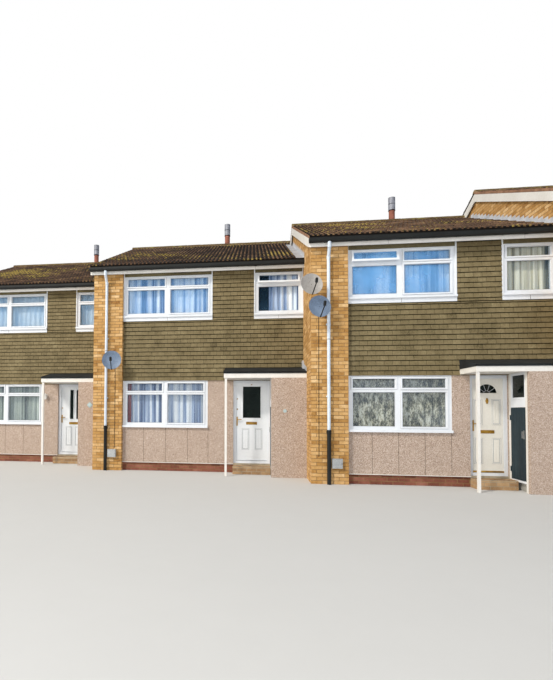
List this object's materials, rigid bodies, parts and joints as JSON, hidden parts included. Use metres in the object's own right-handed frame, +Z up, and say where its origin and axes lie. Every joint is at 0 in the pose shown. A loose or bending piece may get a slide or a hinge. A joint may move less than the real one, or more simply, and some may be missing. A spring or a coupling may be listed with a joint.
{
  "type": "terraced house row",
  "caption": "Stepped row of two-storey tile-hung terraced houses with brick party walls, porches and hinged front doors.",
  "frame": {"origin": "on the ground at the foot of the party wall between the second and third houses, on its centre line, level with the front wall face of the third house", "axes": "+X along the row to the right seen from the street, -Y towards the street, +Z up"},
  "size_m": [20.655, 12.402, 8.2143],
  "materials": {
    "buff_brick": "matte",
    "red_brick": "matte",
    "step_brick": "matte",
    "concrete": "matte",
    "pebbledash": "rough",
    "hung_tiles": "matte",
    "roof_tiles": "matte",
    "ridge_clay": "matte",
    "cream_boards": "satin",
    "white_upvc": "satin",
    "white_paint": "satin",
    "window_glass": "polished",
    "door_glass": "textured",
    "net_fabric": "woven",
    "painted_door": "satin",
    "white_door": "satin",
    "green_paint": "satin",
    "black_felt": "mineral",
    "black_plastic": "satin",
    "white_pipe": "satin",
    "sheet_lead": "dull",
    "flue_metal": "satin",
    "dish_metal": "satin",
    "meter_plastic": "matte",
    "black_metal": "gloss",
    "brass": "polished",
    "steel": "brushed"
  },
  "bodies": {
    "row": {"brick_piers": "buff_brick", "party_and_end_walls": "buff_brick", "party_walls_rear": "buff_brick", "plinth_walls": "red_brick", "floors": "concrete", "under_window_panels": "pebbledash", "side_panels": "pebbledash", "tile_hung_bands": "hung_tiles", "tile_hung_piers": "hung_tiles", "head_boards": "cream_boards", "window_sills": "white_upvc", "apron_boards": "white_upvc", "window_frames": "white_upvc", "window_glass": "window_glass", "net_curtains": "net_fabric", "door_jambs": "white_upvc", "door_rails": "white_upvc", "door_steps": "step_brick", "fixed_doors": "painted_door", "store_walls": "pebbledash", "porch_posts": "white_paint", "porch_roofs": "black_felt", "roof_front": "roof_tiles", "roof_rear": "roof_tiles", "roof_over_walls": "roof_tiles", "ridge_tiles": "ridge_clay", "bargeboards": "white_paint", "fascia_boards": "white_paint", "soffit_boards": "white_paint", "gutters": "black_plastic", "downpipes": "white_pipe", "lower_downpipes": "black_plastic", "lead_flashings": "sheet_lead", "flue_terminals": "flue_metal", "satellite_dishes": "dish_metal", "meter_boxes": "meter_plastic", "coach_lantern": "black_metal"},
    "front_door_a": {"door_a_leaf": "white_door", "door_a_glass": "door_glass", "door_a_fittings": "brass"},
    "front_door_b": {"door_b_leaf": "white_door", "door_b_glass": "door_glass", "door_b_fittings": "brass"},
    "front_door_c": {"door_c_leaf": "white_door", "door_c_glass": "door_glass", "door_c_fittings": "brass"},
    "store_door_c": {"store_door_leaf": "green_paint", "store_door_handle": "steel"}
  },
  "joints": [
    {"name": "front_door_a_hinge", "type": "hinge", "parent": "row", "child": "front_door_a", "pos_m": [-6.0845, 2.8473, 1.2], "axis": [0, 0, -1], "range_deg": [0, 90]},
    {"name": "front_door_b_hinge", "type": "hinge", "parent": "row", "child": "front_door_b", "pos_m": [-0.9745, 1.5173, 1.2], "axis": [0, 0, -1], "range_deg": [0, 90]},
    {"name": "front_door_c_hinge", "type": "hinge", "parent": "row", "child": "front_door_c", "pos_m": [3.6655, 0.1473, 1.2], "axis": [0, 0, -1], "range_deg": [0, 90]},
    {"name": "store_door_c_hinge", "type": "hinge", "parent": "row", "child": "store_door_c", "pos_m": [3.7042, -0.0595, 0.9], "axis": [0, 0, -1], "range_deg": [0, 95]}
  ]
}
